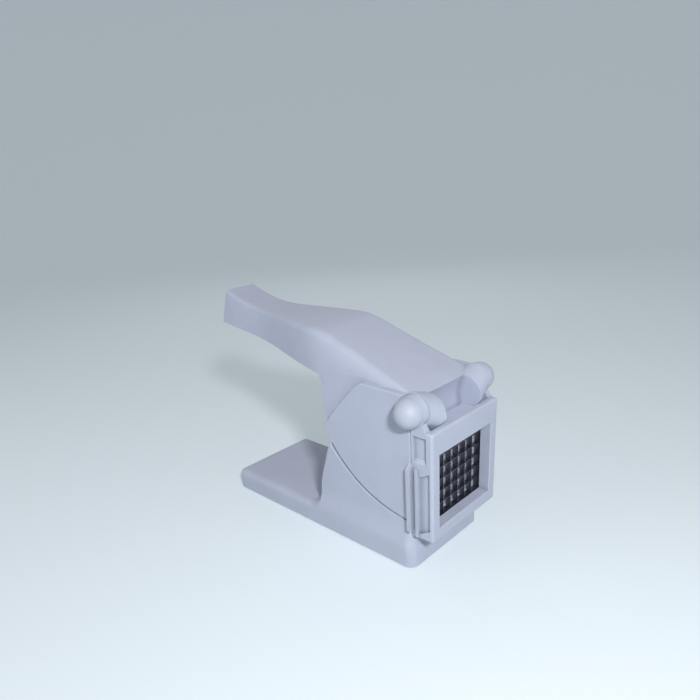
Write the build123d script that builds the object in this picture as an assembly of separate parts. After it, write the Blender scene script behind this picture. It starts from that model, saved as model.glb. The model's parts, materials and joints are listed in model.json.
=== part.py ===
"""Lever potato chipper, one STEP file per piece.

Millimetres. +X is the outlet side, +Z is up. Every piece is drawn about the
hinge axis (x = 0, z = 0) and placed once at the end, so that the table is
z = 0 and x = 0 is halfway along the whole object.
"""
import os
from math import asin, cos, radians, sin, sqrt

from build123d import *

# ---- overall ----
lever_reach = 272.0      # hinge axis to the end of the handle
nose_reach = 20.4        # hinge axis to the front of the frame
hinge_height = 147.2     # hinge axis above the table
wall = 2.6               # general wall of the mouldings
seam = 0.3               # gap between a moving piece and its neighbour
running_fit = 0.05       # radial clearance of the hinge
screw_fit = 0.05         # radial clearance round a screw

# ---- base ----
base_back = 242.4        # hinge axis to the back of the base
base_front = 1.4
base_width = 102.0
base_height = 21.6
base_corner = 8.5
base_round = 7.0
rim_gap = 1.0            # table to the lower rim of the base
foot_radius = 7.0
foot_stem_radius = 3.0
foot_stem_length = 6.0
foot_inset = 13.0

# ---- saddle ----
saddle_width = 94.0
floor_radius = 115.0     # chamber floor, centred a little above the hinge
floor_center = (0.2, 13.4)
saddle_rear = 110.5      # hinge axis to the upright part of the rear face
saddle_toe = 20.0        # concave radius where the saddle meets the base
saddle_tip = -93.5       # upper end of the saddle
base_ribs = (-205.0, -168.0, -131.0)

# ---- front frame ----
frame_width = 94.7
frame_top = -14.0
floor_depth = floor_radius - floor_center[1]
frame_bottom = -floor_depth - 12.3
opening_width = 75.0
opening_top = -34.8
opening_bottom = -floor_depth - 0.6
flange_depth = 6.0       # front flange, full width
frame_round = 2.4        # outer edges of the flange
ledge_drop = 2.6         # top face behind the flange
trough_radius = 20.3     # hollows in the top face under the lever's barrels
side_recess = 2.6        # depth of the side pockets
pocket_low = -108.6      # lower pocket, with slanted ends
pocket_high = -49.0
pocket_rise = 6.0
pocket_front = 3.0       # wall between the lower pocket and the front face
ear_inner = 41.3
ear_outer = 47.3
ear_radius = 13.3

# ---- hinge ----
axle_radius = 4.0
axle_end = 56.0
ball_radius = 12.6
ball_offset = 49.2
barrel_radius = 14.6     # at the barrel's outer end
barrel_inner = 24.5      # the barrels run from here to the cheeks
barrel_bulge = 17.3      # radius of the barrel's inner end, off centre
bulge_center = (0.2, -7.8)
scoop_depth = 4.4        # hollow between the barrels, behind the hinge axis
nose_sweep = 19.8        # farthest that the nose reaches from the hinge axis
swing = 100.0            # how far the lever opens, in degrees
stop_radius = 9.0        # stop lugs on the ears run in grooves in the barrel ends
stop_lug = 1.3
stop_depth = 2.0

# ---- lever ----
hood_half_width = 41.0
grip_half_width = 21.0
hood_round = 6.5
grip_round = 4.0
grip_corner = 2.5        # upright corners of the handle's end
nose_round = 4.0
grip_lean = 2.8          # how far the sides lean in at the top, along the grip
hood_lean = 5.0          # the same at the highest part of the hood
nose_lean = 0.6
hood_start = -95.0       # full width from here forward
grip_start = -225.0      # grip width from here back
hood_rise = 9.0          # height of the hood line above the hinge
hood_slope = 0.353
handle_top = 47.6        # height of the handle line 140 mm behind the hinge
handle_slope = 0.017
handle_knee = 1.36       # softness of the bend between hood and handle
handle_datum = -140.0
lean_start = -130.0      # the sides start to lean in more from here forward
nose_start = -60.0       # the rounding changes to the nose's from here forward
section_step = 12.0      # distance between the sections of the lever's skin
grip_lift_start = -190.0
grip_lift = 0.0026
handle_end_bottom = 28.6
handle_end_top = (-261.0, 61.6)
skirt = -105.5           # rear face of the sector box
skirt_foot = (-102.8, -30.2)
skirt_round = 6.0        # corner between skirt and handle
under_front = 8.0        # height of the handle's underside at the skirt
rib_spot = 9.0           # two ribs run along the handle's hollow, this far from the middle
sweep_gap = 1.2          # chamber floor to the cheeks and the pusher
sector_radius = floor_depth - sweep_gap
apron_foot = (-97.6, -49.6)  # lower end of the wall that closes the chamber's rear
pusher_back = -4.5
pusher_face = -0.3

# ---- guards ----
guard_outer = 47.0
guard_plate = 2.5
guard_rim = 2.0
guard_radius = floor_radius - 0.9
guard_center = (2.5, 13.4)
guard_tail = (-99.8, -36.5)
guard_shoulder = (-54.0, 12.7)
guard_front = -1.2
guard_bosses = ((-53.9, -24.3), (-84.0, -36.0), (-26.0, -66.0))

# ---- blade grid ----
columns = 7
rows = 6
blade_thickness = 0.5
blade_depth = 5.6
blade_bevel = 1.0
rim_thickness = 1.2
slot_back = 3.2          # the cassette's slot in the frame
slot_front = 10.2
slot_fit = 0.2
slot_half_width = 42.5
slot_top = -29.8

# ---- screws ----
screw_radius = 1.5
head_radius = 2.9
head_height = 2.0

# ---- derived ----
half_length = (lever_reach + nose_reach) / 2
place = Pos(half_length - nose_reach, 0, hinge_height)
table = -hinge_height
base_top = table + base_height
base_rim = table + rim_gap
ceiling = base_top - wall
pitch_y = opening_width / columns
pitch_z = (opening_top - opening_bottom) / rows
opening_mid = (opening_top + opening_bottom) / 2
blade_back = slot_back + slot_fit + 0.5
blade_front = blade_back + blade_depth


# ---- helpers ----
def side_slab(face, y0, y1):
    """Prism between two Y planes over an outline drawn in X and Z."""
    return extrude(Plane.XZ.offset(-y1) * face, y1 - y0)


def polygon(*points):
    """Closed face with straight sides."""
    return make_face(Polyline(*points, close=True))


def block(x0, x1, y0, y1, z0, z1):
    """Box between two corners."""
    size = (x1 - x0, y1 - y0, z1 - z0)
    return Pos((x0 + x1) / 2, (y0 + y1) / 2, (z0 + z1) / 2) * Box(*size)


def y_rod(radius, y0, y1, x=0.0, z=0.0):
    """Cylinder along Y between two planes."""
    return Pos(x, (y0 + y1) / 2, z) * Rot(90, 0, 0) * Cylinder(radius, y1 - y0)


def z_rod(radius, z0, z1, x, y):
    """Cylinder along Z between two heights."""
    return Pos(x, y, (z0 + z1) / 2) * Cylinder(radius, z1 - z0)


def x_rod(radius, x0, x1, y, z):
    """Cylinder along X between two planes."""
    return Pos((x0 + x1) / 2, y, z) * Rot(0, 90, 0) * Cylinder(radius, x1 - x0)


def arc_height(x, radius, center):
    """Height of the lower half of a circle at x."""
    return center[1] - sqrt(radius**2 - (x - center[0]) ** 2)


def both(shape):
    """A shape and its mirror image across the middle plane."""
    return shape + mirror(shape, about=Plane.XZ)


def smooth(x, start, end):
    """Smooth step from 0 at start to 1 at end."""
    t = min(max((x - start) / (end - start), 0.0), 1.0)
    return t * t * (3 - 2 * t)


def save(node, shape):
    """Place a piece in the shared frame and write its STEP file."""
    export_step(place * shape, f"parts/{node}.step")


# ---- base with saddle and feet ----
def base_plate(inset):
    """Rounded foot plate, drawn in by inset on every side but the lower."""
    length = base_back + base_front - 2 * inset
    height = base_height - rim_gap - inset
    plate = block(0, length, 0, base_width - 2 * inset, 0, height)
    plate = fillet(plate.edges().filter_by(Axis.Z), base_corner - inset)
    top = plate.faces().sort_by(Axis.Z)[-1]
    plate = fillet(top.edges(), base_round - inset)
    return Pos(inset - base_back, inset - base_width / 2, base_rim) * plate


def saddle_body(inset):
    """Saddle: side profile, cross-section and plan cut into each other."""
    reach = base_width / 2 - inset
    crest = saddle_width / 2 - inset
    front = -inset
    radius = floor_radius + inset
    rear = -saddle_rear + inset
    shoulder_x = saddle_tip + inset
    shoulder = (shoulder_x, arc_height(shoulder_x, radius, floor_center))
    toe_z = base_top + saddle_toe
    mid = ((shoulder[0] + rear) / 2 - 2.6, (shoulder[1] + toe_z) / 2 + 4.0)
    low = table - 20
    toe_x = -saddle_rear - saddle_toe + inset
    toe_mid = (rear - saddle_toe * (1 - cos(radians(45))),
               toe_z - saddle_toe * sin(radians(45)) - inset * 0.3)
    profile = make_face([
        ThreePointArc((front, arc_height(front, radius, floor_center)),
                      (-50, arc_height(-50, radius, floor_center)), shoulder),
        ThreePointArc(shoulder, mid, (rear, toe_z)),
        ThreePointArc((rear, toe_z), toe_mid, (toe_x, base_top - inset)),
        Polyline((toe_x, base_top - inset), (toe_x, low), (front, low),
                 (front, arc_height(front, radius, floor_center))),
    ])
    flare_low = base_top - base_round
    flare_high = base_top + base_height - 3.0
    half = [
        Line((0, low), (reach, low)),
        Line((reach, low), (reach, flare_low)),
        Spline((reach, flare_low), (crest, flare_high), tangents=((0, 1), (0, 1))),
        Line((crest, flare_high), (crest, 0)),
        Line((crest, 0), (0, 0)),
        Line((0, 0), (0, low)),
    ]
    section = Plane.YZ * make_face(half)
    cross = both(extrude(section, -2 * saddle_rear))
    plan = [
        Polyline((0, 0), (0, reach), (-saddle_rear + 6, reach)),
        Spline((-saddle_rear + 6, reach), (toe_x, reach - base_round), tangents=((-1, 0), (-1, -0.4))),
        Polyline((toe_x, reach - base_round), (toe_x, 0), (0, 0)),
    ]
    plan_prism = both(Pos(0, 0, low) * extrude(make_face(plan), -low))
    footprint = block(-base_back + inset, base_front - inset, -reach, reach, base_rim, 0)
    footprint = fillet(footprint.edges().filter_by(Axis.Z), base_corner - inset)
    return side_slab(profile, -reach, reach) & cross & plan_prism & footprint


foot_spots = [(x, y) for x in (-base_back + foot_inset, base_front - foot_inset)
              for y in (-base_width / 2 + foot_inset, base_width / 2 - foot_inset)]
foot_seat = base_rim + 1.5
tenon_y0, tenon_y1 = 12.0, 25.0
tenon_x = -28.0
tenon_z0 = frame_bottom + 0.6
tenon_z1 = tenon_z0 + 8.4
shelf_z = tenon_z0 - wall
screw_spots = [(x, y) for x in (-22.0, -9.0) for y in (-18.5, 18.5)]


def make_base():
    reach_in = base_width / 2 - wall
    hollow = base_plate(wall) + saddle_body(wall)
    rib_z0, rib_z1 = ceiling - 3.4, base_top + 6.0
    for x in base_ribs:
        hollow -= block(x - 0.8, x + 0.8, -base_width, base_width, rib_z0, rib_z1)
    for x, y in foot_spots:
        wide = foot_radius + 1.2
        hollow -= z_rod(wide, foot_seat, ceiling, x, y)
        hollow -= block(x - wide, x + wide, min(y, 6 * y), max(y, 6 * y), foot_seat, ceiling)
    hollow -= block(tenon_x - 3, 0, -reach_in, reach_in, shelf_z, tenon_z0)
    body = base_plate(0) + saddle_body(0) - hollow
    body -= both(block(tenon_x, 1, tenon_y0, tenon_y1, tenon_z0, tenon_z1))
    for x, y in foot_spots:
        body -= z_rod(foot_radius, foot_seat - 4, foot_seat, x, y)
        body -= z_rod(foot_stem_radius, foot_seat, foot_seat + foot_stem_length, x, y)
    for x, y in screw_spots:
        body -= z_rod(screw_radius + screw_fit, shelf_z - 1, tenon_z0, x, y)
        body -= z_rod(head_radius + 1.0, base_rim, shelf_z, x, y)
    return body


def make_foot(x, y):
    pad = z_rod(foot_radius, table, foot_seat, x, y)
    pad = fillet(pad.edges().sort_by(Axis.Z)[0], 0.8)
    return pad + z_rod(foot_stem_radius, foot_seat, foot_seat + foot_stem_length, x, y)


# ---- front frame ----
rear_lip = 2.6           # how far the side lip reaches back over the guard's seam
lip_outer = 52.5
ridge_outer = 49.5
channel_outer = 47.8
lip_top = -48.5


def side_rib(x0, x1, inner, outer, z0, z1, chamfer_rise):
    """Upright rib on the frame's flank with a sloping upper end."""
    flank = Plane.YZ.offset(x0) * polygon((inner, z0), (outer, z0), (outer, z1),
                                          (inner, z1 + chamfer_rise))
    return extrude(flank, x1 - x0)


def side_pocket(x0, x1, z0, z1):
    """Pocket in the frame's flank with sloping upper and lower ends."""
    floor = frame_width / 2 - side_recess
    edge = frame_width / 2 + 0.01
    slope = 3.0
    flank = Plane.YZ.offset(x0) * polygon((floor, z0 + slope), (edge, z0), (edge, z1),
                                          (floor, z1 - slope))
    return extrude(flank, x1 - x0)


def make_frame():
    half = frame_width / 2
    front = nose_reach
    flange = front - flange_depth
    body = block(0, front, -half, half, frame_bottom, frame_top)
    body = fillet(body.edges().filter_by(Axis.X), frame_round + 0.2)
    body = fillet(body.faces().sort_by(Axis.X)[-1].edges(), frame_round)
    body -= block(0.0, flange, -half, half, frame_top - ledge_drop, frame_top)
    body -= both(side_pocket(2.0, flange, frame_top - 28.0, frame_top - 4.8))
    pocket = polygon((6.5, pocket_low), (front - pocket_front, pocket_low + pocket_rise),
                     (front - pocket_front, pocket_high), (6.5, pocket_high - pocket_rise))
    body -= both(side_slab(pocket, half - side_recess, half + 1))
    lip = side_rib(-rear_lip, 0, half - 0.05, lip_outer, frame_bottom + 7.2, lip_top, 4.8)
    bridge = side_rib(0, 4.0, half - 3, channel_outer, frame_bottom + 5.0, lip_top, 0.4)
    ridge = side_rib(4.0, 6.5, half - 3, ridge_outer, frame_bottom + 2.7, lip_top, 2.0)
    root = side_rib(0, 1.2, half - 3, lip_outer, frame_bottom + 7.2, lip_top, 4.8)
    body += both(lip + bridge + ridge + root)
    ear = polygon((0, 0), (0, frame_top - ledge_drop - 1), (14.4, frame_top - ledge_drop - 1),
                  (14.4, -15.0), (9.6, -7.2))
    body += both(side_slab(ear + Circle(ear_radius), ear_inner, ear_outer))
    tenon = block(tenon_x + 0.2, 1, tenon_y0 + 0.15, tenon_y1 - 0.15, tenon_z0, tenon_z1 - 0.2)
    body += both(tenon)
    half_open = opening_width / 2
    body -= block(-1, front + 1, -half_open, half_open, opening_bottom, opening_top)
    body = fillet(body.faces().sort_by(Axis.X)[-1].inner_wires()[0].edges(), 0.8)
    body -= both(y_rod(trough_radius, barrel_inner - 0.6, ear_inner))
    body -= block(slot_back, slot_front, -slot_half_width, slot_half_width,
                  frame_bottom - 1, slot_top)
    body += both(y_rod(stop_lug, hood_half_width - stop_depth + seam, ear_inner, 0, -stop_radius))
    body -= y_rod(axle_radius, -ear_outer - 1, ear_outer + 1)
    for x, y in screw_spots:
        body -= z_rod(screw_radius + screw_fit, tenon_z0, tenon_z0 + 6.5, x, y)
    return body


def make_frame_screws():
    screws = []
    for x, y in screw_spots:
        shank = z_rod(screw_radius, shelf_z, tenon_z0 + 6, x, y)
        head = z_rod(head_radius, shelf_z - head_height, shelf_z, x, y)
        slot = block(x - 2.2, x + 2.2, y - 0.4, y + 0.4, shelf_z - head_height, shelf_z - 1.0)
        screws.append(shank + head - slot)
    return Compound(screws)


# ---- axle and caps ----
def make_axle_pins():
    pin = y_rod(axle_radius, barrel_inner + 1.5, axle_end)
    pin = chamfer(pin.edges().filter_by(GeomType.CIRCLE), 0.6)
    return Compound([pin, mirror(pin, about=Plane.XZ)])


def make_ball_cap():
    ball = Pos(0, ball_offset, 0) * Sphere(ball_radius)
    ball &= block(-20, 20, ear_outer, 80, -20, 20)
    return ball - y_rod(axle_radius, ear_outer - 1, axle_end + 0.4)


# ---- lever ----
def lever_top(x):
    """Height of the lever's ridge: hood line softly bent into the handle line."""
    hood = hood_rise - hood_slope * x
    handle = handle_top - handle_slope * (x - handle_datum) + grip_lift * min(x - grip_lift_start, 0.0) ** 2
    return (hood + handle) / 2 - sqrt(((hood - handle) / 2) ** 2 + handle_knee**2)


def lever_loft(inset):
    """Lever skin: rounded sections along X, far below the real underside."""
    sections = []
    for number in range(26):
        x = section_step * (number - 24)
        growth = smooth(x, grip_start, hood_start)
        width = grip_half_width + (hood_half_width + 0.1 - grip_half_width) * growth
        rounding = grip_round + (hood_round - grip_round) * growth
        rounding -= (rounding - nose_round) * smooth(x, nose_start, 0)
        lean = grip_lean + (hood_lean - grip_lean) * smooth(x, lean_start, hood_start)
        lean -= (lean - nose_lean) * smooth(x, -45, 0)
        top = lever_top(x) - inset
        knee = min(under_height(x), lever_top(x) - rounding - 4.0)
        half = width - inset
        radius = (lean**2 + (top - knee) ** 2) / (2 * lean)
        turn = asin((top - knee) / radius) / 2
        mid_y, mid_z = half - radius * (1 - cos(turn)), knee + radius * sin(turn)
        section = make_face([
            Polyline((-half, knee), (-half, table), (half, table), (half, knee)),
            ThreePointArc((half, knee), (mid_y, mid_z), (half - lean, top)),
            Line((half - lean, top), (lean - half, top)),
            ThreePointArc((lean - half, top), (-mid_y, mid_z), (-half, knee)),
        ])
        section = fillet(section.vertices().group_by(Axis.Y)[-1], max(rounding - inset, 1.0))
        sections.append(Plane.YZ.offset(x) * section)
    return loft(sections)


def under_height(x):
    """Height of the handle's straight underside, and of the guard's top in front of it."""
    slope = (handle_end_bottom - under_front) / (lever_reach + skirt)
    rise = guard_shoulder[1] - under_front
    return under_front + slope * max(skirt - x, 0.0) + rise * smooth(x, skirt, guard_shoulder[0])


def stop_groove():
    """Arc-shaped groove for a stop lug, from the pressed to the open position."""
    half = stop_lug + running_fit
    sides = [Polyline((0, 0), (0, -30), (30, -30), (30, 30 * sin(radians(swing - 90))), (0, 0))]
    arc = (Circle(stop_radius + half) - Circle(stop_radius - half)) & make_face(sides)
    for angle in (-90, swing - 90):
        arc += Pos(stop_radius * cos(radians(angle)), stop_radius * sin(radians(angle))) * Circle(half)
    return side_slab(arc, hood_half_width - stop_depth, hood_half_width + 1)


def grip_corners():
    """What the rounded upright corners of the handle's end leave out."""
    slant = (handle_end_top[0] + lever_reach) / (handle_end_top[1] - handle_end_bottom)
    length = 60.0
    outlines = []
    for z, half in ((handle_end_bottom - 8, grip_half_width + 0.1),
                    (handle_end_top[1] + 8, grip_half_width + 0.1 - grip_lean * 1.1)):
        x = slant * (z - handle_end_bottom) - lever_reach - 0.7
        outline = Pos(x + length / 2, 0) * Rectangle(length, 2 * half)
        outline = fillet(outline.vertices().group_by(Axis.X)[0], grip_corner)
        outlines.append(Pos(0, 0, z) * outline)
    room = block(-lever_reach - 2, handle_end_top[0] + 8, -60, 60, handle_end_bottom - 6,
                 handle_end_top[1] + 6)
    return room - loft(outlines)


def make_lever():
    tip = -lever_reach
    top = 90.0
    lower = (-sector_radius * cos(radians(18.88)), -sector_radius * sin(radians(18.88)))
    toe = (pusher_back, -sqrt(sector_radius**2 - pusher_back**2))
    belly = (-sector_radius * cos(radians(50)), -sector_radius * sin(radians(50)))
    end_top = handle_end_top
    end_mid = ((tip + end_top[0]) / 2 - 0.5, (handle_end_bottom + end_top[1]) / 2 + 0.4)
    outline = make_face([
        ThreePointArc((tip, handle_end_bottom), end_mid, end_top),
        Polyline(end_top, (end_top[0], top), (0, top), (0, 0), (pusher_back, -10), toe),
        ThreePointArc(toe, belly, lower),
        Polyline(lower, skirt_foot, (skirt, under_front), (tip, handle_end_bottom)),
    ])
    outline = fillet(outline.vertices().sort_by_distance((skirt, under_front))[0], skirt_round)
    body = lever_loft(0) & side_slab(outline, -hood_half_width, hood_half_width)
    body -= grip_corners()
    slant = (end_top[0] - tip) / (end_top[1] - handle_end_bottom)
    channel = polygon((tip + wall + 1.0 - 20 * slant, handle_end_bottom - 20),
                      (tip + wall + 1.0 + (top - handle_end_bottom) * slant, top), (skirt - 0.2, top),
                      (skirt - 0.2, under_front - 20))
    chamber = polygon((skirt + wall + 1, top), (skirt_foot[0] + wall, skirt_foot[1] - 4),
                      (lower[0] + 1, -110), (pusher_back - 3.4, -110), (pusher_back - 3.4, -6),
                      (-16, 4), (-16, top))
    inner = lever_loft(wall + 0.15)
    for y0, y1 in ((-60.0, -rib_spot - 0.9), (0.9 - rib_spot, rib_spot - 0.9), (rib_spot + 0.9, 60.0)):
        body -= inner & side_slab(channel, y0, y1)
    body -= inner & side_slab(chamber, -60, 60)
    cheek = hood_half_width - wall
    body -= side_slab(chamber, -cheek, cheek) & block(skirt, 0, -cheek, cheek, table, -6)
    outer_end = Plane.XZ.offset(-hood_half_width) * Circle(barrel_radius)
    inner_end = Plane.XZ.offset(-barrel_inner) * Pos(*bulge_center) * Circle(barrel_bulge)
    apron = polygon(skirt_foot, apron_foot, (apron_foot[0] + wall, apron_foot[1] + 0.8),
                    (skirt_foot[0] + wall + 0.3, skirt_foot[1] + 0.4), (skirt_foot[0] + wall, skirt_foot[1] + 6),
                    (skirt_foot[0] + 0.5, skirt_foot[1] + 6))
    body += side_slab(apron, -hood_half_width, hood_half_width)
    barrel = loft([outer_end, inner_end]) & y_rod(nose_sweep, 0, hood_half_width)
    scoop = make_face([
        ThreePointArc((0.4, lever_top(0) + 0.5), (-scoop_depth, -2.0), (pusher_back - 0.2, -17.0)),
        Polyline((pusher_back - 0.2, -17.0), (25, -17.0), (25, 30), (0.4, 30), (0.4, lever_top(0) + 0.5)),
    ])
    body -= side_slab(scoop, -barrel_inner, barrel_inner)
    body += both(barrel)
    body -= both(y_rod(axle_radius + running_fit, barrel_inner + 1.4, 60))
    body -= both(stop_groove())
    for x, z in guard_bosses:
        hole = y_rod(screw_radius + screw_fit, hood_half_width - wall - 1, hood_half_width + 1, x, z)
        body -= both(hole)
    for y, z in pusher_spots:
        body -= x_rod(screw_radius + screw_fit, pusher_back - 5, pusher_back + 1, y, z)
    return body


# ---- guards ----
def guard_outline(grow=0.0):
    """Sector-shaped outline of a guard, pulled in by a negative grow."""
    tail = guard_tail
    foot = (guard_front, arc_height(guard_front, guard_radius, guard_center))
    belly = (-60.0, arc_height(-60.0, guard_radius, guard_center))
    tail = (tail[0], arc_height(tail[0], guard_radius, guard_center))
    face = make_face([
        ThreePointArc(foot, belly, tail),
        ThreePointArc(tail, (-77.4, -9.9), guard_shoulder),
        Polyline(guard_shoulder, (guard_front, guard_shoulder[1] - 0.6), foot),
    ])
    face = fillet(face.vertices().sort_by_distance(guard_shoulder)[0], 7.0)
    face = fillet(face.vertices().sort_by_distance(tail)[0], 1.5)
    return offset(face, grow) if grow else face


def make_guard():
    tray = side_slab(guard_outline(), hood_half_width, guard_outer)
    rim = tray.faces().sort_by(Axis.Y)[-1]
    tray = chamfer(rim.edges(), 0.8)
    tray -= side_slab(guard_outline(-guard_rim), hood_half_width - 1, guard_outer - guard_plate)
    for x, z in guard_bosses:
        tray += y_rod(3.6, hood_half_width, guard_outer - guard_plate, x, z)
        tray -= y_rod(screw_radius + screw_fit, hood_half_width - 1, guard_outer - 1.4, x, z)
    return tray - y_rod(ear_radius + 0.35, hood_half_width - 1, guard_outer + 1)


def make_guard_screws():
    screws = []
    inside = hood_half_width - wall
    for x, z in guard_bosses:
        screw = y_rod(screw_radius, inside, guard_outer - 1.7, x, z)
        screw += y_rod(head_radius, inside - head_height, inside, x, z)
        screw -= block(x - 0.4, x + 0.4, inside - head_height, inside - 1, z - 2.2, z + 2.2)
        screws += [screw, mirror(screw, about=Plane.XZ)]
    return Compound(screws)


# ---- pusher ----
pusher_top = -24.0
pusher_half_width = 40.6
pusher_spots = [(y, z) for y in (-33.0, 33.0) for z in (-30.0, 16.4 - sector_radius)]
stud_width = pitch_y - blade_thickness - 1.3
stud_height = pitch_z - blade_thickness - 1.3
stud_front = slot_back - 0.1


def make_pusher():
    corner = -sqrt(sector_radius**2 - pusher_back**2) + 0.3
    body = block(pusher_back, pusher_face, -pusher_half_width, pusher_half_width, corner, pusher_top)
    body = fillet(body.edges().filter_by(Axis.X), 2.0)
    length = stud_front - pusher_back - 2
    for i in range(columns):
        for j in range(rows):
            y = (i - (columns - 1) / 2) * pitch_y
            z = opening_mid + (j - (rows - 1) / 2) * pitch_z
            body += Pos(stud_front - length / 2, y, z) * Box(length, stud_width, stud_height)
    body &= y_rod(sector_radius - 0.2, -hood_half_width, hood_half_width)
    for y, z in pusher_spots:
        body -= x_rod(screw_radius + screw_fit, pusher_back - 1, pusher_face - 0.9, y, z)
    return body


def make_pusher_screws():
    screws = []
    back = pusher_back - 3.4
    for y, z in pusher_spots:
        screw = x_rod(screw_radius, back, pusher_face - 1.1, y, z)
        screw += x_rod(head_radius, back - head_height, back, y, z)
        screw -= block(back - head_height, back - 1, y - 2.2, y + 2.2, z - 0.4, z + 0.4)
        screws.append(screw)
    return Compound(screws)


# ---- blade cassette ----
rim_half = opening_width / 2 + rim_thickness


def rectangle_band(x0, x1, outer_y, outer_z0, outer_z1, inner_y, inner_z0, inner_z1):
    """Rectangular ring along X."""
    ring = block(x0, x1, -outer_y, outer_y, outer_z0, outer_z1)
    return ring - block(x0 - 1, x1 + 1, -inner_y, inner_y, inner_z0, inner_z1)


def blade_y(i):
    return (i - columns / 2) * pitch_y


def blade_z(j):
    return opening_bottom + j * pitch_z


def make_carrier():
    x0, x1 = slot_back + slot_fit, slot_front - slot_fit
    body = rectangle_band(x0, x1, slot_half_width - slot_fit, frame_bottom, slot_top - slot_fit,
                          rim_half, opening_bottom - rim_thickness, opening_top + rim_thickness)
    lip = block(x0 - 0.1, blade_back, -rim_half - 1, rim_half + 1, opening_bottom - rim_thickness - 1,
                opening_top + rim_thickness + 1)
    half = opening_width / 2
    lip -= block(x0 - 2, x1, -half, half, opening_bottom, opening_top)
    body += lip & block(x0, x1, -rim_half - 1, rim_half + 1, frame_bottom, slot_top)
    grip = block(x0 - 1, x0 + 1.2, -14, 14, frame_bottom + 2.0, frame_bottom + 6.0)
    return body - grip


def make_rim():
    half = opening_width / 2
    body = rectangle_band(blade_back, blade_front, rim_half, opening_bottom - rim_thickness,
                          opening_top + rim_thickness, half, opening_bottom, opening_top)
    gap = blade_thickness / 2 + 0.05
    for i in range(1, columns):
        y = blade_y(i)
        body -= block(blade_back, blade_front - 1.0, y - gap, y + gap, opening_bottom - 5, opening_top + 5)
    for j in range(1, rows):
        z = blade_z(j)
        body -= block(blade_back, blade_front - 1.0, -50, 50, z - gap, z + gap)
    return body


def blade_profile(plane, start):
    """Thin strip, sharpened towards the potato."""
    half = blade_thickness / 2
    tip, end = blade_back, blade_front - 1.0
    return plane * polygon((tip, start), (tip + blade_bevel, start + half), (end, start + half),
                           (end, start - half), (tip + blade_bevel, start - half))


notch_x = (blade_back + blade_front - 1.0) / 2
notch_half = blade_thickness / 2 + 0.05


def make_blade_v(i):
    y = blade_y(i)
    low, high = opening_bottom - rim_thickness, opening_top + rim_thickness
    blade = extrude(blade_profile(Plane.XY.offset(low), y), high - low)
    for j in range(1, rows):
        z = blade_z(j)
        blade -= block(notch_x, blade_front + 1, y - 1, y + 1, z - notch_half, z + notch_half)
    return blade


def make_blade_h(j):
    z = blade_z(j)
    blade = extrude(blade_profile(Plane.XZ.offset(-rim_half), z), 2 * rim_half)
    for i in range(1, columns):
        y = blade_y(i)
        blade -= block(blade_back - 1, notch_x, y - notch_half, y + notch_half, z - 1, z + 1)
    return blade


# ---- write the pieces ----
os.makedirs("parts", exist_ok=True)
save("base", make_base())
for number, spot in enumerate(foot_spots, 1):
    save(f"foot_{number}", make_foot(*spot))
save("front_frame", make_frame())
save("frame_screws", make_frame_screws())
save("axle_pins", make_axle_pins())
save("ball_cap_left", make_ball_cap())
save("ball_cap_right", mirror(make_ball_cap(), about=Plane.XZ))
save("lever", make_lever())
save("guard_left", make_guard())
save("guard_right", mirror(make_guard(), about=Plane.XZ))
save("guard_screws", make_guard_screws())
save("pusher", make_pusher())
save("pusher_screws", make_pusher_screws())
save("grid_carrier", make_carrier())
save("grid_rim", make_rim())
for i in range(1, columns):
    save(f"blade_v_{i}", make_blade_v(i))
for j in range(1, rows):
    save(f"blade_h_{j}", make_blade_h(j))
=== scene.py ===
"""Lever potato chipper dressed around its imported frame. Metres, +X is the outlet side, +Z is up."""
import json
import math

import bmesh
import bpy
import numpy as np
from bpy.props import FloatProperty, FloatVectorProperty, PointerProperty
from bpy.types import Operator, Panel, PropertyGroup
from mathutils import Matrix


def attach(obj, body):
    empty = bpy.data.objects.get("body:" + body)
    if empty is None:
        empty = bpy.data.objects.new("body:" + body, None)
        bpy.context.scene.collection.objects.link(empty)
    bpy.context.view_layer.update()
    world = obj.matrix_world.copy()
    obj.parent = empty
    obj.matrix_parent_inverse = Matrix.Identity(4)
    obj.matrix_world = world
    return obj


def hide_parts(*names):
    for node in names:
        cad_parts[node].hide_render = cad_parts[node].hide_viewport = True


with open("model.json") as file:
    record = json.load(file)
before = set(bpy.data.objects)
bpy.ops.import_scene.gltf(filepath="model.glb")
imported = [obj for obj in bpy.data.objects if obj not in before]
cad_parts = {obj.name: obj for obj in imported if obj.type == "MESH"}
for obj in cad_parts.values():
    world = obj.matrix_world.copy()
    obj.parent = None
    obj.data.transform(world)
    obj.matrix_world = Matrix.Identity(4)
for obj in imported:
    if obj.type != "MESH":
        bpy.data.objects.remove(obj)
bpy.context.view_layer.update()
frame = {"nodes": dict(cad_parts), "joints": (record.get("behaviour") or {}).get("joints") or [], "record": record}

bl_info = {
    "name": "Lever potato chipper",
    "version": (1, 0, 0),
    "blender": (4, 5, 0),
    "location": "View3D > Sidebar > Chipper",
    "description": "Dresses a lever potato chipper around its packed frame",
    "category": "Object",
}

MM = 0.001
HINGE = next(j for j in frame["joints"] if j["name"] == "lever_hinge")["pos_m"]

# table top, in metres
FLAT_REACH = 2.0
BOWL_RADIUS = 1.6
BOWL_STEPS = 33
BOWL_SECTORS = 96
FLOOR_GLOW = (0.62, 0.70, 0.74)
GLOW_STRENGTH = 0.30

# camera and sky
CAMERA_TURNS = (45.865, 25.245, -3.739)     # azimuth, elevation and roll in degrees
CAMERA_TARGET = (17.883, 7.332, 77.171)
CAMERA_DISTANCE = 585.338
CAMERA_SHIFT = (-0.0143, 0.1214)
SENSOR_WIDTH = 36
SKY_COLOR = (0.92, 0.95, 1.0)
SKY_STRENGTH = 0.34

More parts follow.
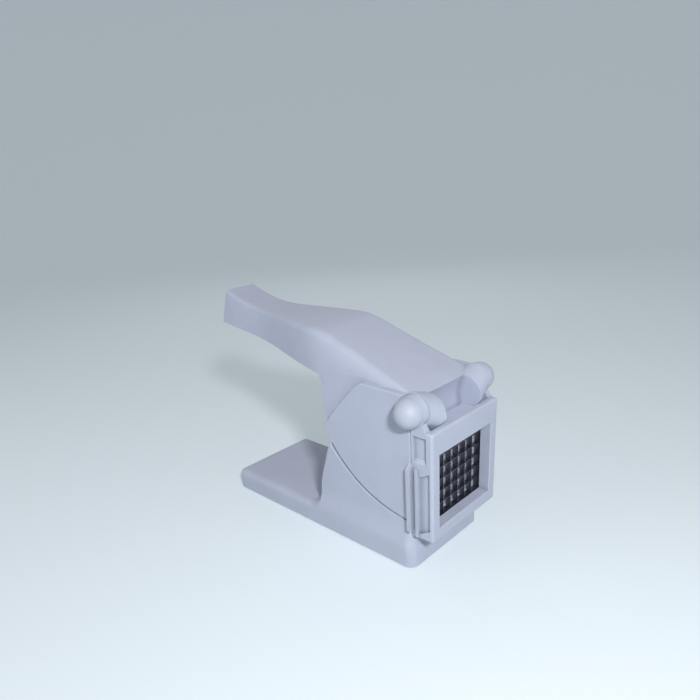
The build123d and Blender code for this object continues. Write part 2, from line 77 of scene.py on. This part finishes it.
# base, in millimetres; every height is from the table
WALL = 2.6
RIM = 1.0
BASE_BACK = 242.4
FRONT_STEP = 1.4            # how far the front face stands out at its foot
FRONT_FOOT = 24.0           # height where it stops standing out
PLATE_HALF = 51.0
PLATE_TOP = 21.6
SADDLE_HALF = 47.0
FLARE_FOOT = 20.0           # heights between which the side draws in to the saddle
FLARE_HIGH = 46.0
FLARE_POWER = 0.75
TOE_RADIUS = 20.0
TOE_CENTER = np.array((-130.5, PLATE_TOP + TOE_RADIUS))
TIP_X = -93.5
TIP_INSET = 1.6             # how far the inner skin's tip stands back, per millimetre of inset
RISING = np.array((0.54, 0.84))     # direction of the saddle's rear at its tip
REAR_PULL = 18.0            # length of the curve's handles on the saddle's rear
FLOOR_RADIUS = 115.0
FLOOR_CENTER = np.array((0.2, 160.6))

# radii of the edge between the top and the sides, and the heights over which they change
PLATE_ROUND = 7.0
TIP_ROUND = 0.35
REAR_ROUND = 3.2
CORNER_ROUND = 1.0
BASE_CORNER = 8.5
LEAST_ROUND = 0.35
ROUND_FOOT = PLATE_TOP - PLATE_ROUND
CLIMB_FADE = (24.0, 45.0)
REAR_GROWS = (42.0, 70.0)
REAR_SHRINKS = (72.0, 93.0)
FRONT_FADE = 34.0
LEAST_LEAN = 0.05
COLUMN_GAP = 0.03           # keeps neighbouring columns of points apart above the toe
SIDE_FADE = -45.0           # from here to the front the sides follow the front face's foot

# points along each part of the base
UPRIGHT_ROWS = 21
HEEL_STEPS, PLATE_STEPS, TOE_STEPS, REAR_STEPS = 9, 30, 17, 25
NOSE_STEPS, FLOOR_STEPS, CORNER_STEPS = 9, 49, 5
BEND_STEPS, WING_STEPS, BOSS_STEPS = 8, 9, 25

# underside of the base
BITE = 0.2                  # how far ribs and bosses reach into the wall
RIB_SPOTS = (-205.0, -168.0, -131.0)
RIB_HALF = 0.8
RIB_DEPTH = 3.4
FOOT_INSET = 13.0
FOOT_SEAT = 2.5
BOSS_RADIUS = 8.2
SHELF_BACK, SHELF_FRONT = -31.0, -1.0
SHELF_GAP = 2.0
SHELF_LOW = 31.3


# ---- sizes and colours that a user would change ----
class ChipperPlastic(PropertyGroup):
    """Colours and finish of the mouldings."""

    body_color: FloatVectorProperty(name="Body colour",
                                    description="Pale moulding of base, frame and lever",
                                    subtype="COLOR", default=(0.455, 0.490, 0.605), min=0, max=1)
    cap_color: FloatVectorProperty(name="Cap colour", description="Ball caps on the hinge pins",
                                   subtype="COLOR", default=(0.44, 0.47, 0.57), min=0, max=1)
    inner_color: FloatVectorProperty(name="Inner colour", description="Pusher and grid carrier",
                                     subtype="COLOR", default=(0.34, 0.36, 0.45), min=0, max=1)
    roughness: FloatProperty(name="Roughness",
                             description="Gloss of the mouldings, lower is shinier",
                             default=0.42, min=0.05, max=1)
    grain: FloatProperty(name="Grain", description="Depth of the fine moulded grain",
                         default=0.06, min=0, max=1)


class ChipperMetal(PropertyGroup):
    """Finish of the steel pieces."""

    steel_color: FloatVectorProperty(name="Steel colour",
                                     description="Blades, rim, pins and screws",
                                     subtype="COLOR", default=(0.22, 0.225, 0.25), min=0, max=1)
    brushing: FloatProperty(name="Brushing", description="Strength of the grinding marks",
                            default=0.35, min=0, max=1)


class ChipperStage(PropertyGroup):
    """Camera, lamps and floor."""

    lens: FloatProperty(name="Lens", description="Camera focal length in millimetres",
                        default=30.48, min=10)
    key_power: FloatProperty(name="Key lamp", description="Power of the small lamp in front",
                             unit="POWER", default=7.2)
    fill_power: FloatProperty(name="Fill lamp", description="Power of the side lamp",
                              unit="POWER", default=1.6)
    rear_power: FloatProperty(name="Rear lamp", description="Power of the lamp behind",
                              unit="POWER", default=0.7)
    floor_color: FloatVectorProperty(name="Floor colour", description="Pale table top",
                                     subtype="COLOR", default=(0.62, 0.68, 0.72), min=0, max=1)


# ---- shader groups ----
def socket_group(name, inputs, outputs):
    """Empty node group with the named float, colour or vector sockets."""
    group = bpy.data.node_groups.new(name, "ShaderNodeTree")
    for label, kind, value in inputs:
        item = group.interface.new_socket(name=label, in_out="INPUT", socket_type=kind)
        if value is not None:
            item.default_value = value
    for label, kind in outputs:
        group.interface.new_socket(name=label, in_out="OUTPUT", socket_type=kind)
    enter = group.nodes.new("NodeGroupInput")
    leave = group.nodes.new("NodeGroupOutput")
    return group, enter, leave


def node(tree, kind, **values):
    """New node with attributes set by name and sockets set by label or number."""
    made = tree.nodes.new(kind)
    for key, value in values.items():
        if hasattr(made, key):
            setattr(made, key, value)
        else:
            made.inputs[key.replace("_", " ")].default_value = value
    return made


def calc(tree, operation, *operands):
    """Output of a math node whose operands are numbers or the outputs of other nodes."""
    made = node(tree, "ShaderNodeMath", operation=operation)
    for socket, operand in zip(made.inputs, operands):
        if isinstance(operand, bpy.types.NodeSocket):
            tree.links.new(operand, socket)
        else:
            socket.default_value = operand
    return made.outputs[0]


def noise(tree, vector, **values):
    """Output of a noise texture read at a vector."""
    made = node(tree, "ShaderNodeTexNoise", **values)
    tree.links.new(vector, made.inputs["Vector"])
    return made.outputs["Fac"]


def tinted(tree, color, value, leave):
    """Send a colour with its brightness multiplied by value to the group's colour output."""
    tint = node(tree, "ShaderNodeHueSaturation")
    tree.links.new(color, tint.inputs["Color"])
    tree.links.new(value, tint.inputs["Value"])
    tree.links.new(tint.outputs["Color"], leave.inputs["Color"])


def bumped(tree, height, strength, distance, leave):
    """Send the normal of a height field to the group's normal output."""
    bump = node(tree, "ShaderNodeBump", Distance=distance)
    tree.links.new(height, bump.inputs["Height"])
    tree.links.new(strength, bump.inputs["Strength"])
    tree.links.new(bump.outputs["Normal"], leave.inputs["Normal"])


def moulding_group():
    """Moulded plastic: slow mottling, flow marks and a speckle in the colour, outer edges lightened as a painted
    highlight and inner corners darkened as painted shade, and a fine grain in the height."""
    group, enter, leave = socket_group(
        "moulding",
        [("Color", "NodeSocketColor", None), ("Roughness", "NodeSocketFloat", 0.4),
         ("Grain", "NodeSocketFloat", 0.1), ("Mottle", "NodeSocketFloat", 0.05),
         ("Edge_highlight", "NodeSocketFloat", 0.16), ("Corner_shade", "NodeSocketFloat", 0.5)],
        [("Color", "NodeSocketColor"), ("Roughness", "NodeSocketFloat"),
         ("Normal", "NodeSocketVector")])
    place = node(group, "ShaderNodeTexCoord").outputs["Object"]
    slow = noise(group, place, Scale=18.0, Detail=3.0, Roughness=0.6)
    flow = noise(group, place, Scale=70.0, Detail=4.0, Roughness=0.55, Distortion=0.6)
    fine = noise(group, place, Scale=1500.0, Detail=2.0, Roughness=0.5)
    speckled = calc(group, "MULTIPLY_ADD", fine, 0.9, calc(group, "ADD", slow, flow))
    centred = calc(group, "SUBTRACT", speckled, 1.45)      # 1.45 is the mean of the three
    value = calc(group, "ADD", calc(group, "MULTIPLY", centred, enter.outputs["Mottle"]), 1.0)
    # Edge lightens outer edges within about a millimetre: a painted highlight.
    for label, inside, distance, sign in (("Edge_highlight", True, 0.0011, 1.0),
                                          ("Corner_shade", False, 0.006, -1.0)):
        reach = node(group, "ShaderNodeAmbientOcclusion", inside=inside, only_local=True,
                     samples=6, Distance=distance)
        # Corner darkens hollows within six millimetres through the minus sign: painted shade.
        mask = calc(group, "SUBTRACT", 1.0, reach.outputs["AO"])
        part = calc(group, "MULTIPLY", mask, enter.outputs[label])
        value = calc(group, "MULTIPLY_ADD", part, sign, value)
    tinted(group, enter.outputs["Color"], value, leave)
    group.links.new(calc(group, "MULTIPLY_ADD", flow, 0.12, enter.outputs["Roughness"]),
                    leave.inputs["Roughness"])
    bumped(group, calc(group, "MULTIPLY_ADD", fine, 0.25, flow), enter.outputs["Grain"],
           0.0004, leave)


def grinding_group():
    """Ground steel: fine streaks along one axis in roughness and height, slow stains in colour."""
    group, enter, leave = socket_group(
        "grinding",
        [("Color", "NodeSocketColor", None), ("Roughness", "NodeSocketFloat", 0.3),
         ("Brushing", "NodeSocketFloat", 0.3), ("Stretch", "NodeSocketVector", (60, 900, 900))],
        [("Color", "NodeSocketColor"), ("Roughness", "NodeSocketFloat"),
         ("Normal", "NodeSocketVector")])
    place = node(group, "ShaderNodeTexCoord").outputs["Object"]
    stretch = node(group, "ShaderNodeVectorMath", operation="MULTIPLY")
    group.links.new(place, stretch.inputs[0])
    group.links.new(enter.outputs["Stretch"], stretch.inputs[1])
    streak = noise(group, stretch.outputs[0], Scale=1.0, Detail=5.0, Roughness=0.7)
    stain = noise(group, place, Scale=120.0, Detail=3.0)
    band = node(group, "ShaderNodeMapRange", From_Min=0.3, From_Max=0.7, To_Min=0.8, To_Max=1.1)
    group.links.new(stain, band.inputs["Value"])
    tinted(group, enter.outputs["Color"], band.outputs["Result"], leave)
    group.links.new(calc(group, "MULTIPLY_ADD", streak, 0.2, enter.outputs["Roughness"]),
                    leave.inputs["Roughness"])
    bumped(group, streak, enter.outputs["Brushing"], 0.0002, leave)


def shaded(name, group, values, metallic=0.0, specular=0.5):
    """Material whose Principled shader takes colour, roughness and normal from a group."""
    material = bpy.data.materials.new(name)
    material.use_nodes = True
    tree = material.node_tree
    shader = tree.nodes["Principled BSDF"]
    effect = tree.nodes.new("ShaderNodeGroup")
    effect.node_tree = bpy.data.node_groups[group]
    for key, value in values.items():
        effect.inputs[key].default_value = value
    for given, taken in (("Color", "Base Color"), ("Roughness", "Roughness"),
                         ("Normal", "Normal")):
        tree.links.new(effect.outputs[given], shader.inputs[taken])
    shader.inputs["Metallic"].default_value = metallic
    shader.inputs["Specular IOR Level"].default_value = specular
    return material


def finishes():
    """All materials, made once from the user's colours."""
    if "moulding" not in bpy.data.node_groups:
        moulding_group()
        grinding_group()
    plastic = bpy.context.scene.chipper_plastic
    metal = bpy.context.scene.chipper_metal

    def moulded(name, color, roughness, grain, mottle, specular=0.5):
        return bpy.data.materials.get(name) or shaded(
            name, "moulding", {"Color": (*color, 1), "Roughness": roughness, "Grain": grain,
                               "Mottle": mottle}, specular=specular)

    def ground(name, color, roughness, stretch):
        return bpy.data.materials.get(name) or shaded(
            name, "grinding", {"Color": (*color, 1), "Roughness": roughness,
                               "Brushing": metal.brushing, "Stretch": stretch}, metallic=1.0)

    return {
        "pale_plastic": moulded("pale moulding", plastic.body_color, plastic.roughness,
                                plastic.grain, 0.10),
        "cap_plastic": moulded("cap moulding", plastic.cap_color, 0.46, plastic.grain * 0.5, 0.05),
        "inner_plastic": moulded("inner moulding", plastic.inner_color, 0.55,
                                 plastic.grain * 2, 0.12),
        "foot_rubber": moulded("foot rubber", (0.025, 0.025, 0.028), 0.7, 0.6, 0.3, specular=0.25),
        "blade_steel": ground("blade steel", metal.steel_color, 0.24, (900, 900, 60)),
        "pin_steel": ground("pin steel", metal.steel_color, 0.30, (900, 60, 900)),
    }


def dress(*names):
    """Give CAD nodes the finish of their material slot."""
    looks = finishes()
    slots = {part["node"]: part["material_slot"] for part in frame["record"]["subparts"]}
    for name in names:
        mesh = frame["nodes"][name].data
        mesh.materials.clear()
        mesh.materials.append(looks[slots[name]])


# ---- surfaces; lengths in millimetres, x from the hinge axis, z from the table ----
def smooth(value, start, end):
    """Smooth step from 0 at start to 1 at end."""
    part = np.clip((value - start) / (end - start), 0.0, 1.0)
    return part * part * (3 - 2 * part)


def grid_faces(spots, flip=False):
    """Four-sided faces of a grid of vertex numbers, right-handed over rows and columns."""
    corners = [spots[:-1, :-1], spots[1:, :-1], spots[1:, 1:], spots[:-1, 1:]]
    return np.stack(corners[::-1] if flip else corners, -1).reshape(-1, 4)


def finished(name, points, faces, body, slot, sharp=40.0):
    """Closed mesh object from millimetre points, doubles merged, riding on a body."""
    mesh = bpy.data.meshes.new(name)
    placed = np.asarray(points, float) * MM + (HINGE[0], 0.0, 0.0)
    mesh.from_pydata(placed.tolist(), [], [list(face) for face in faces])
    work = bmesh.new()
    work.from_mesh(mesh)
    bmesh.ops.remove_doubles(work, verts=work.verts, dist=2e-6)
    bmesh.ops.dissolve_degenerate(work, edges=work.edges, dist=2e-6)
    work.to_mesh(mesh)
    work.free()
    mesh.polygons.foreach_set("use_smooth", np.ones(len(mesh.polygons), bool))
    mesh.set_sharp_from_angle(angle=math.radians(sharp))
    made = bpy.data.objects.new(name, mesh)
    bpy.context.collection.objects.link(made)
    mesh.materials.append(finishes()[slot])
    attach(made, body)
    return made


def side_reach(z):
    """Half width of the base: full up to the flare's foot, then drawn in along an S to the
    saddle's side."""
    rise = np.clip((z - FLARE_FOOT) / (FLARE_HIGH - FLARE_FOOT), 0.0, 1.0) ** FLARE_POWER
    return PLATE_HALF - (PLATE_HALF - SADDLE_HALF) * smooth(rise, 0.0, 1.0)


def arc(center, radius, start, end, count):
    """Points on a circle in the X-Z plane between two angles in degrees."""
    angle = np.radians(np.linspace(start, end, count))
    return np.stack([center[0] + radius * np.cos(angle), center[1] + radius * np.sin(angle)], -1)


def floor_height(x, radius):
    """Height of the chamber floor, an arc about a point above the hinge."""
    return FLOOR_CENTER[1] - np.sqrt(radius ** 2 - (x - FLOOR_CENTER[0]) ** 2)


def tip_round(tip, outward):
    """Points of the small round at the saddle's tip, from its rear to the chamber floor. Their
    normals are spread evenly over the angle between the two faces."""
    rear_normal = np.array((RISING[1], -RISING[0]))
    center = tip + TIP_ROUND * (rear_normal + outward) / (1 + rear_normal @ outward)
    share = np.linspace(0, 1, NOSE_STEPS)[:, None]
    turn = math.acos(np.clip(rear_normal @ outward, -1, 1))
    normals = (np.sin((1 - share) * turn) * rear_normal
               + np.sin(share * turn) * outward) / math.sin(turn)
    return center - TIP_ROUND * normals


def line_parts(inset):
    """Upper line of the base in nine parts: back face, rounded heel, plate, hollow toe, a cubic
    curve up the saddle's rear, tip, chamber floor, corner and front face. They are drawn in by
    inset."""
    radius = FLOOR_RADIUS + inset
    level = np.linspace(1, 0, UPRIGHT_ROWS)
    back = np.stack([np.full(UPRIGHT_ROWS, -BASE_BACK + inset),
                     ROUND_FOOT + (RIM - ROUND_FOOT) * level], -1)
    heel = arc((PLATE_ROUND - BASE_BACK, ROUND_FOOT), PLATE_ROUND - inset, 180, 90, HEEL_STEPS)
    toe = arc(TOE_CENTER, TOE_RADIUS + inset, -90, 0, TOE_STEPS)
    plate = np.linspace(heel[-1], toe[0], PLATE_STEPS)
    tip_x = TIP_X + TIP_INSET * inset
    tip = np.array((tip_x, floor_height(tip_x, radius)))
    nose = tip_round(tip, (tip - FLOOR_CENTER) / radius)
    part = np.linspace(0, 1, REAR_STEPS)[:, None]
    guide = [toe[-1], toe[-1] + (0, REAR_PULL), nose[0] - REAR_PULL * RISING, nose[0]]
    rear = ((1 - part) ** 3 * guide[0] + 3 * (1 - part) ** 2 * part * guide[1]
            + 3 * (1 - part) * part ** 2 * guide[2] + part ** 3 * guide[3])
    along = np.linspace(nose[-1][0], -inset - CORNER_ROUND, FLOOR_STEPS)
    floor = np.stack([along, floor_height(along, radius)], -1)
    corner = arc((-inset - CORNER_ROUND, floor[-1, 1] - CORNER_ROUND), CORNER_ROUND, 90, 0,
                 CORNER_STEPS)
    fall = RIM + (corner[-1, 1] - RIM) * level
    front = np.stack([FRONT_STEP * (1 - smooth(fall, ROUND_FOOT, FRONT_FOOT)) - inset, fall], -1)
    return [back, *(part[1:] for part in (heel, plate, toe, rear, nose, floor, corner, front))]


def edge_rounds(line, inward, starts, inset):
    """Radius of the edge between the top and the sides at each point of the upper line. Above the
    toe it is held back where the columns under neighbouring points would cross."""
    toe_at, rear_at, nose_at, floor_at, corner_at, front_at = starts
    climb, rear = slice(toe_at, floor_at), slice(rear_at, nose_at)
    height = line[:, 1]
    rounds = np.full(len(line), TIP_ROUND)
    rounds[:toe_at] = PLATE_ROUND
    rounds[climb] = (PLATE_ROUND
                     + (TIP_ROUND - PLATE_ROUND) * smooth(height[climb], *CLIMB_FADE))
    rounds[rear] += (REAR_ROUND * smooth(height[rear], *REAR_GROWS)
                     * (1 - smooth(height[rear], *REAR_SHRINKS)))
    drop = height[front_at - 1:]
    rounds[front_at - 1:] = (BASE_CORNER
                             + (CORNER_ROUND - BASE_CORNER) * smooth(drop, FRONT_FADE, drop[0]))
    apart = COLUMN_GAP * np.arange(floor_at - toe_at)
    reach = (line[:, 0] + inward[:, 0] * rounds)[climb] - apart
    reach = np.minimum.accumulate(reach[::-1])[::-1] + apart - line[climb, 0]
    rounds[climb] = np.minimum(rounds[climb], reach / np.maximum(inward[climb, 0], LEAST_LEAN))
    rounds = np.maximum(rounds - inset, LEAST_ROUND)
    rounds[corner_at:front_at] = CORNER_ROUND
    rounds[nose_at:floor_at] = TIP_ROUND
    return rounds


def base_line(inset):
    """Upper line of the base from its back rim to its front rim, with its inward normals and the
    radius of the edge between it and the sides."""
    parts = line_parts(inset)
    line = np.concatenate(parts)
    along = np.gradient(line, axis=0)
    along /= np.linalg.norm(along, axis=1)[:, None]
    inward = np.stack([along[:, 1], -along[:, 0]], -1)
    inward[:UPRIGHT_ROWS] = (1, 0)
    inward[-UPRIGHT_ROWS:] = (-1, 0)
    starts = np.cumsum([len(part) for part in parts])[2:8]
    return line, inward, edge_rounds(line, inward, starts, inset)


def base_skin(inset):
    """Points and vertex numbers of one skin of the base: a sheet drawn across the upper line whose
    edges turn down in quarter rounds, and two sides that hang from those rounds to the rim."""
    line, inward, rounds = base_line(inset)
    turn = np.radians(np.linspace(0, 90, BEND_STEPS))
    bend = np.concatenate([turn[::-1], np.zeros(WING_STEPS - 2), turn])
    wing = np.concatenate([-np.ones(BEND_STEPS), np.linspace(-1, 1, WING_STEPS)[1:-1],
                           np.ones(BEND_STEPS)])
    under = line + inward * rounds[:, None]
    flat = side_reach(under[:, 1]) - inset - rounds
    place = line[:, None] + inward[:, None] * (rounds[:, None] * (1 - np.cos(bend)))[..., None]
    across = flat[:, None] * wing + np.sign(wing) * rounds[:, None] * np.sin(bend)
    sheet = np.stack([place[..., 0], across, place[..., 1]], -1)
    hung = under[UPRIGHT_ROWS - 1:-UPRIGHT_ROWS + 1]
    level = np.linspace(0, 1, UPRIGHT_ROWS)
    edge = under[-UPRIGHT_ROWS:, 0]
    share = smooth(hung[:, 0], SIDE_FADE, hung[-1, 0])[:, None]
    x = hung[:, :1] + (edge - edge[0]) * share
    z = hung[:, 1:] * (1 - level) + RIM * level
    y = side_reach(z) - inset
    patches = (sheet, *(np.stack([x, sign * y, z], -1) for sign in (-1, 1)))
    spots, used = [], 0
    for patch in patches:
        count = patch.shape[0] * patch.shape[1]
        spots.append(used + np.arange(count).reshape(patch.shape[:2]))
        used += count
    return np.concatenate([patch.reshape(-1, 3) for patch in patches]), spots


def prism(outline, low, high):
    """Closed upright prism on a counterclockwise outline of (x, y) corners."""
    outline = np.asarray(outline, float)
    count = len(outline)
    points = np.concatenate([np.column_stack([outline, np.full(count, z)]) for z in (low, high)])
    here = np.arange(count)
    after = np.roll(here, -1)
    sides = np.stack([here, after, after + count, here + count], -1).tolist()
    return points, [here[::-1].tolist(), (here + count).tolist(), *sides]


def box(low_x, high_x, half, low, high):
    """Upright block between two x, two heights and plus or minus half in y."""
    return prism([(low_x, -half), (high_x, -half), (high_x, half), (low_x, half)], low, high)


def foot_boss(x, side, inner_half, ceiling):
    """Boss that holds a foot: a half round whose flat side bites into the side wall."""
    turn = np.radians(np.linspace(0, 180, BOSS_STEPS))
    ring = np.column_stack([x + BOSS_RADIUS * np.cos(turn),
                            PLATE_HALF - FOOT_INSET - BOSS_RADIUS * np.sin(turn)])
    wall_side = np.array([(x + end * BOSS_RADIUS, inner_half + BITE) for end in (-1, 1)])
    outline = np.concatenate([ring, wall_side]) * (1, side)
    return prism(outline if side < 0 else outline[::-1], FOOT_SEAT, ceiling + BITE)


def base_moulding():
    """Hollow base: two skins joined along the rim, with ribs, foot bosses and a shelf."""
    points, faces, rims, used = [], [], [], 0
    for inset, flip in ((0.0, False), (WALL, True)):
        skin, (sheet, left, right) = base_skin(inset)
        points.append(skin)
        for spots, turned_over in ((sheet, flip), (left, not flip), (right, flip)):
            faces += grid_faces(spots + used, turned_over).tolist()
        rims.append([edge + used for edge in (sheet[0], right[:, -1], sheet[-1][::-1],
                                              left[:, -1][::-1])])
        used += len(skin)
    for outer, inner in zip(*rims):
        faces += grid_faces(np.stack([inner, outer])).tolist()
    inner_half = PLATE_HALF - WALL
    ceiling = PLATE_TOP - WALL
    solids = [box(x - RIB_HALF, x + RIB_HALF, inner_half + BITE, ceiling - RIB_DEPTH,
                  ceiling + BITE) for x in RIB_SPOTS]
    solids += [foot_boss(x, side, inner_half, ceiling)
               for x in (FOOT_INSET - BASE_BACK, FRONT_STEP - FOOT_INSET) for side in (-1, 1)]
    solids.append(box(SHELF_BACK, SHELF_FRONT, inner_half - SHELF_GAP, SHELF_LOW,
                      SHELF_LOW + WALL))
    for solid, sides in solids:
        points.append(solid)
        faces += [[corner + used for corner in side] for side in sides]
        used += len(solid)
    return np.concatenate(points), faces


# ---- operators, one for each group of pieces ----
class CHIPPER_OT_base(Operator):
    """Dress the base with its saddle and rubber feet"""

    bl_idname = "chipper.base"
    bl_label = "Base and feet"

    def execute(self, context):
        moulding = finished("base_moulding", *base_moulding(), "stand", "pale_plastic")
        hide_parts("base")
        dress("foot_1", "foot_2", "foot_3", "foot_4")
        return {"FINISHED"}


class CHIPPER_OT_front(Operator):
    """Dress the front frame, its hinge pins, caps and screws"""

    bl_idname = "chipper.front"
    bl_label = "Front frame"

    def execute(self, context):
        dress("front_frame", "frame_screws", "axle_pins", "ball_cap_left", "ball_cap_right")
        return {"FINISHED"}


class CHIPPER_OT_lever(Operator):
    """Dress the lever, its guards, the pusher and their screws"""

    bl_idname = "chipper.lever"
    bl_label = "Lever and pusher"

    def execute(self, context):
        dress("lever", "guard_left", "guard_right", "guard_screws", "pusher", "pusher_screws")
        return {"FINISHED"}


class CHIPPER_OT_grid(Operator):
    """Dress the blade grid and its carrier"""

    bl_idname = "chipper.grid"
    bl_label = "Blade grid"

    def execute(self, context):
        blades = [name for name in frame["nodes"] if name.startswith("blade_")]
        dress("grid_carrier", "grid_rim", *blades)
        return {"FINISHED"}


class CHIPPER_OT_stage(Operator):
    """Make the table top, the lamps, the sky and the camera"""

    bl_idname = "chipper.stage"
    bl_label = "Stage"

    def execute(self, context):
        stage = context.scene.chipper_stage
        self.floor(stage)
        self.lamps(stage)
        self.camera(stage)
        context.scene.view_settings.view_transform = "Standard"
        return {"FINISHED"}

    def floor(self, stage):
        """Flat disc under the object whose rim rises in a quarter round, turned about Z."""
        turn = np.linspace(0, math.pi / 2, BOWL_STEPS)
        reach = FLAT_REACH + BOWL_RADIUS * np.sin(turn)
        height = BOWL_RADIUS * (1 - np.cos(turn))
        angle = np.linspace(0, 2 * math.pi, BOWL_SECTORS, endpoint=False)
        rings = np.stack([reach[:, None] * np.cos(angle), reach[:, None] * np.sin(angle),
                          np.broadcast_to(height[:, None], (BOWL_STEPS, BOWL_SECTORS))], -1)
        points = np.concatenate([[(0, 0, 0)], rings.reshape(-1, 3)])
        spot = 1 + np.arange(BOWL_STEPS * BOWL_SECTORS).reshape(BOWL_STEPS, BOWL_SECTORS)
        after = np.roll(spot, -1, 1)
        quads = np.stack([spot[:-1], spot[1:], after[1:], after[:-1]], -1).reshape(-1, 4)
        fan = np.stack([np.zeros(BOWL_SECTORS, int), spot[0], after[0]], -1)
        mesh = bpy.data.meshes.new("table_top")
        mesh.from_pydata(points.tolist(), [], fan.tolist() + quads.tolist())
        mesh.polygons.foreach_set("use_smooth", np.ones(len(mesh.polygons), bool))
        top = bpy.data.objects.new("table_top", mesh)
        bpy.context.collection.objects.link(top)
        mesh.materials.append(self.floor_material(stage))

    def floor_material(self, stage):
        """Matt table top that glows a little where the camera or a gloss sees it."""
        material = bpy.data.materials.new("table top")
        material.use_nodes = True
        tree = material.node_tree
        shader = tree.nodes["Principled BSDF"]
        shader.inputs["Base Color"].default_value = (*stage.floor_color, 1)
        shader.inputs["Roughness"].default_value = 0.8
        shader.inputs["Emission Color"].default_value = (*FLOOR_GLOW, 1)
        ray = tree.nodes.new("ShaderNodeLightPath")
        seen = calc(tree, "MAXIMUM", ray.outputs["Is Camera Ray"], ray.outputs["Is Glossy Ray"])
        tree.links.new(calc(tree, "MULTIPLY", seen, GLOW_STRENGTH),
                       shader.inputs["Emission Strength"])
        return material

    def lamps(self, stage):
        """Small key from the front right, wide fills from the left and behind, and a pale sky."""
        for name, power, size, place, aim in (
                ("key_lamp", stage.key_power, 0.09, (0.68, -0.46, 0.62), (0.05, 0, 0.08)),
                ("fill_lamp", stage.fill_power, 0.6, (-0.50, -0.90, 0.50), (-0.08, 0, 0.08)),
                ("rear_lamp", stage.rear_power, 0.8, (-0.70, 0.80, 0.70), (0, 0, 0.08))):
            lamp = bpy.data.lights.new(name, "AREA")
            lamp.energy = power
            lamp.size = size
            shown = bpy.data.objects.new(name, lamp)
            back = np.array(place) - np.array(aim)
            shown.matrix_world = turned(place, back / np.linalg.norm(back), 0.0)
            bpy.context.collection.objects.link(shown)
        world = bpy.data.worlds.new("soft sky")
        world.use_nodes = True
        sky = world.node_tree.nodes["Background"]
        sky.inputs["Color"].default_value = (*SKY_COLOR, 1)
        sky.inputs["Strength"].default_value = SKY_STRENGTH
        bpy.context.scene.world = world

    def camera(self, stage):
        """Camera to the front and right of the object, looking down at it."""
        lens = bpy.data.cameras.new("camera")
        lens.lens = stage.lens
        lens.sensor_width = SENSOR_WIDTH
        lens.shift_x, lens.shift_y = CAMERA_SHIFT
        eye = bpy.data.objects.new("camera", lens)
        azimuth, elevation, roll = (math.radians(turn) for turn in CAMERA_TURNS)
        back = np.array((math.cos(elevation) * math.cos(azimuth),
                         -math.cos(elevation) * math.sin(azimuth), math.sin(elevation)))
        place = np.array(CAMERA_TARGET) * MM + back * CAMERA_DISTANCE * MM
        eye.matrix_world = turned(place, back, roll)
        bpy.context.collection.objects.link(eye)
        bpy.context.scene.camera = eye


def turned(place, back, roll):
    """Matrix of a camera or lamp at place whose local +Z is back, rolled about it."""
    right = np.cross((0, 0, 1), back)
    right /= np.linalg.norm(right)
    up = np.cross(back, right)
    tilted = math.cos(roll) * right + math.sin(roll) * up
    upright = -math.sin(roll) * right + math.cos(roll) * up
    matrix = np.eye(4)
    matrix[:3, 0], matrix[:3, 1], matrix[:3, 2], matrix[:3, 3] = tilted, upright, back, place
    return Matrix(matrix.tolist())


class CHIPPER_PT_panel(Panel):
    """Sidebar panel that lists the pieces and their values"""

    bl_label = "Chipper"
    bl_space_type = "VIEW_3D"
    bl_region_type = "UI"
    bl_category = "Chipper"

    def draw(self, context):
        layout = self.layout
        for key in GROUPS:
            group = getattr(context.scene, key)
            frame_box = layout.box()
            for name in group.bl_rna.properties.keys():
                if name not in ("rna_type", "name"):
                    frame_box.prop(group, name)
        for operator in OPERATORS:
            layout.operator(operator.bl_idname)


GROUPS = {"chipper_plastic": ChipperPlastic, "chipper_metal": ChipperMetal,
          "chipper_stage": ChipperStage}
OPERATORS = (CHIPPER_OT_base, CHIPPER_OT_front, CHIPPER_OT_lever, CHIPPER_OT_grid,
             CHIPPER_OT_stage)


def register():
    for group in GROUPS.values():
        bpy.utils.register_class(group)
    for name, group in GROUPS.items():
        setattr(bpy.types.Scene, name, PointerProperty(type=group))
    for made in (*OPERATORS, CHIPPER_PT_panel):
        bpy.utils.register_class(made)


def unregister():
    for made in (CHIPPER_PT_panel, *reversed(OPERATORS)):
        bpy.utils.unregister_class(made)
    for name, group in GROUPS.items():
        delattr(bpy.types.Scene, name)
        bpy.utils.unregister_class(group)


def main():
    register()
    bpy.ops.chipper.base()
    bpy.ops.chipper.front()
    bpy.ops.chipper.lever()
    bpy.ops.chipper.grid()
    bpy.ops.chipper.stage()


if __name__ == "__main__":
    main()
